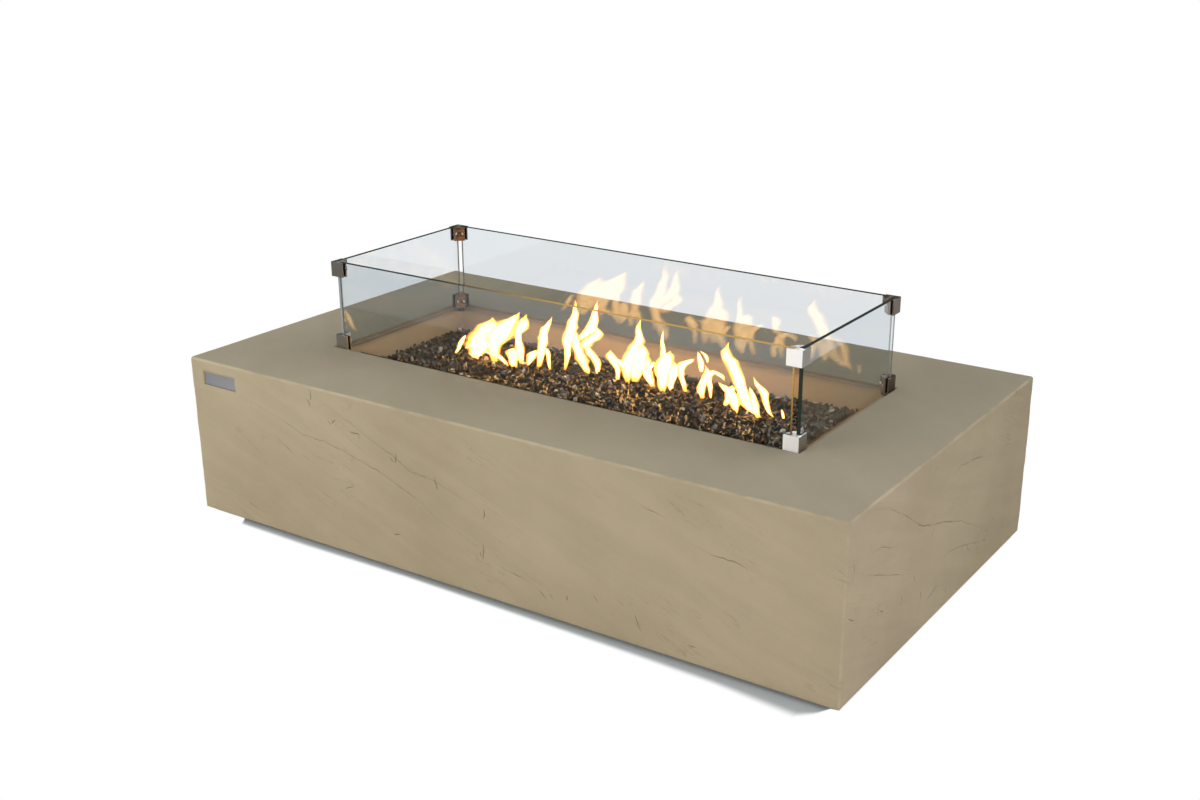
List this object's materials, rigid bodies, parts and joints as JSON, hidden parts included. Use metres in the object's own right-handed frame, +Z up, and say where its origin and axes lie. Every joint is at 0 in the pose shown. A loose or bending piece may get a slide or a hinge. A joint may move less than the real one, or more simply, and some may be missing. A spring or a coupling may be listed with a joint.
{
  "type": "gas fire pit table",
  "caption": "Low rectangular gas fire table: hollow cast concrete body, sunk linear burner under crushed dark glass, lift-out glass wind guard in metal corner clamps, recessed controls.",
  "frame": {"origin": "on the floor under the middle of the body, at the level of the rubber feet's undersides", "axes": "+X along the long side towards the end away from the controls, -Y towards the front with the badge, +Z up"},
  "size_m": [1.55, 0.876, 0.55],
  "materials": {
    "concrete": "matt cast concrete with a slate-like surface",
    "badge_metal": "fine brushed",
    "guard_glass": "clear toughened, ground edges",
    "clamp_steel": "polished stainless",
    "screw_steel": "bright stainless",
    "black_rubber": "matt",
    "pan_steel": "mill finish stainless",
    "burner_steel": "heat-tinted stainless",
    "brass": "machined",
    "fire_glass": "crushed dark reflective glass",
    "mesh_steel": "woven wire, dull",
    "pilot_ceramic": "unglazed",
    "tray_steel": "brushed stainless",
    "knob_plastic": "satin black",
    "igniter_plastic": "fine grain",
    "button_metal": "bright",
    "hose_steel": "corrugated stainless",
    "tube_aluminium": "drawn",
    "lead_copper": "drawn copper",
    "wire_sleeve": "silicone sleeve",
    "bracket_steel": "zinc-grey paint",
    "stud_steel": "zinc plated"
  },
  "bodies": {
    "base": {"concrete_body": "concrete", "badge_plate": "badge_metal", "burner_pan": "pan_steel", "burner_tube": "burner_steel", "burner_saddles": "burner_steel", "burner_riser": "burner_steel", "riser_locknuts": "stud_steel", "air_mixer": "brass", "orifice_fitting": "brass", "fire_glass": "fire_glass", "pilot_cage": "mesh_steel", "pilot_bracket": "burner_steel", "pilot_burner": "brass", "thermocouple": "burner_steel", "spark_electrode": "pilot_ceramic", "control_tray": "tray_steel", "tray_screws": "screw_steel", "valve_body": "brass", "valve_nut": "stud_steel", "igniter_case": "igniter_plastic", "igniter_nut": "stud_steel", "main_hose": "hose_steel", "supply_hose": "hose_steel", "hose_nuts": "brass", "pilot_tube": "tube_aluminium", "thermocouple_lead": "lead_copper", "ignition_wire": "wire_sleeve", "line_nuts": "brass", "gas_inlet": "brass", "inlet_bracket": "bracket_steel", "bracket_screws": "screw_steel", "foot_inserts": "brass", "foot_pads": "black_rubber", "foot_screws": "stud_steel"},
    "guard": {"front_glass": "guard_glass", "rear_glass": "guard_glass", "left_glass": "guard_glass", "right_glass": "guard_glass", "lower_clamp_fl": "clamp_steel", "lower_clamp_fr": "clamp_steel", "lower_clamp_rl": "clamp_steel", "lower_clamp_rr": "clamp_steel", "upper_clamp_fl": "clamp_steel", "upper_clamp_fr": "clamp_steel", "upper_clamp_rl": "clamp_steel", "upper_clamp_rr": "clamp_steel", "clamp_screws": "screw_steel", "clamp_pads": "black_rubber", "guard_feet": "black_rubber"},
    "valve_plug": {"valve_plug": "brass"},
    "knob": {"valve_stem": "stud_steel", "control_knob": "knob_plastic"},
    "igniter_button": {"igniter_button": "button_metal"}
  },
  "joints": [
    {"name": "guard_lift", "type": "slide", "parent": "base", "child": "guard", "axis": [0, 0, 1], "range_m": [0, 0.25]},
    {"name": "valve_turn", "type": "hinge", "parent": "base", "child": "valve_plug", "pos_m": [-0.69, 0, 0.175], "axis": [-1, 0, 0], "range_deg": [0, 180]},
    {"name": "knob_push", "type": "slide", "parent": "valve_plug", "child": "knob", "axis": [1, 0, 0], "range_m": [0, 0.006], "stiffness_N_per_m": 700, "springref_m": -0.004},
    {"name": "igniter_press", "type": "slide", "parent": "base", "child": "igniter_button", "axis": [1, 0, 0], "range_m": [0, 0.005], "stiffness_N_per_m": 800, "springref_m": -0.003}
  ]
}
